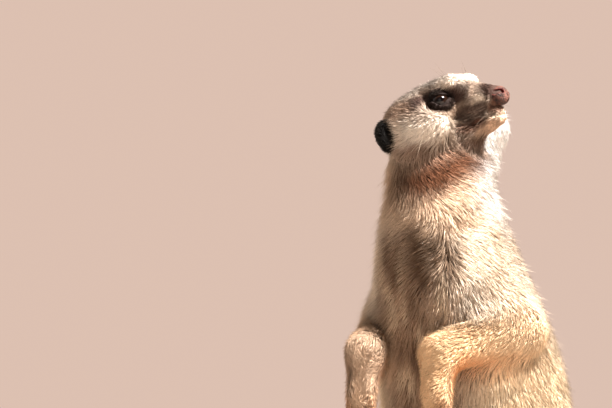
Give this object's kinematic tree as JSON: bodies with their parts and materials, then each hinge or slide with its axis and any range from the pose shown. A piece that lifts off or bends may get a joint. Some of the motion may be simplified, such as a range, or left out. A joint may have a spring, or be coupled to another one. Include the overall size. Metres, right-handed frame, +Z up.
{
  "type": "meerkat",
  "caption": "Life-size still model of a meerkat standing upright on its hind feet and tail, its head turned over its left shoulder.",
  "frame": {"origin": "on the floor, at the middle of the footprint's bounding box", "axes": "+Z up, -Y the way the belly faces, +X the animal's left"},
  "size_m": [0.1384, 0.2656, 0.3114],
  "materials": {
    "head_coat": "short whitish grey fur with dark brown eye patches",
    "body_coat": "long grizzled grey-brown and cream fur with dark bands on the back",
    "limb_coat": "short cream to orange-tan fur",
    "tail_coat": "short yellowish brown fur",
    "tail_tip": "short blackish fur",
    "ear_coat": "very short black fur",
    "nose_skin": "moist dark brown skin",
    "eye": "glossy dark brown eye",
    "claw": "smooth dark horn"
  },
  "bodies": {
    "root": {"head": "head_coat", "lower_jaw": "head_coat", "neck": "head_coat", "nose": "nose_skin", "ear_left": "ear_coat", "eye_left": "eye", "ear_right": "ear_coat", "eye_right": "eye", "chest": "body_coat", "abdomen": "body_coat", "hips": "body_coat", "upper_arm_left": "limb_coat", "forearm_left": "limb_coat", "hand_left": "limb_coat", "thigh_left": "limb_coat", "shank_left": "limb_coat", "foot_left": "limb_coat", "fore_claw_left_1": "claw", "hind_claw_left_1": "claw", "fore_claw_left_2": "claw", "hind_claw_left_2": "claw", "fore_claw_left_3": "claw", "hind_claw_left_3": "claw", "fore_claw_left_4": "claw", "hind_claw_left_4": "claw", "upper_arm_right": "limb_coat", "forearm_right": "limb_coat", "hand_right": "limb_coat", "thigh_right": "limb_coat", "shank_right": "limb_coat", "foot_right": "limb_coat", "fore_claw_right_1": "claw", "hind_claw_right_1": "claw", "fore_claw_right_2": "claw", "hind_claw_right_2": "claw", "fore_claw_right_3": "claw", "hind_claw_right_3": "claw", "fore_claw_right_4": "claw", "hind_claw_right_4": "claw", "tail_1": "tail_coat", "tail_2": "tail_coat", "tail_3": "tail_coat", "tail_4": "tail_tip"}
  },
  "joints": []
}
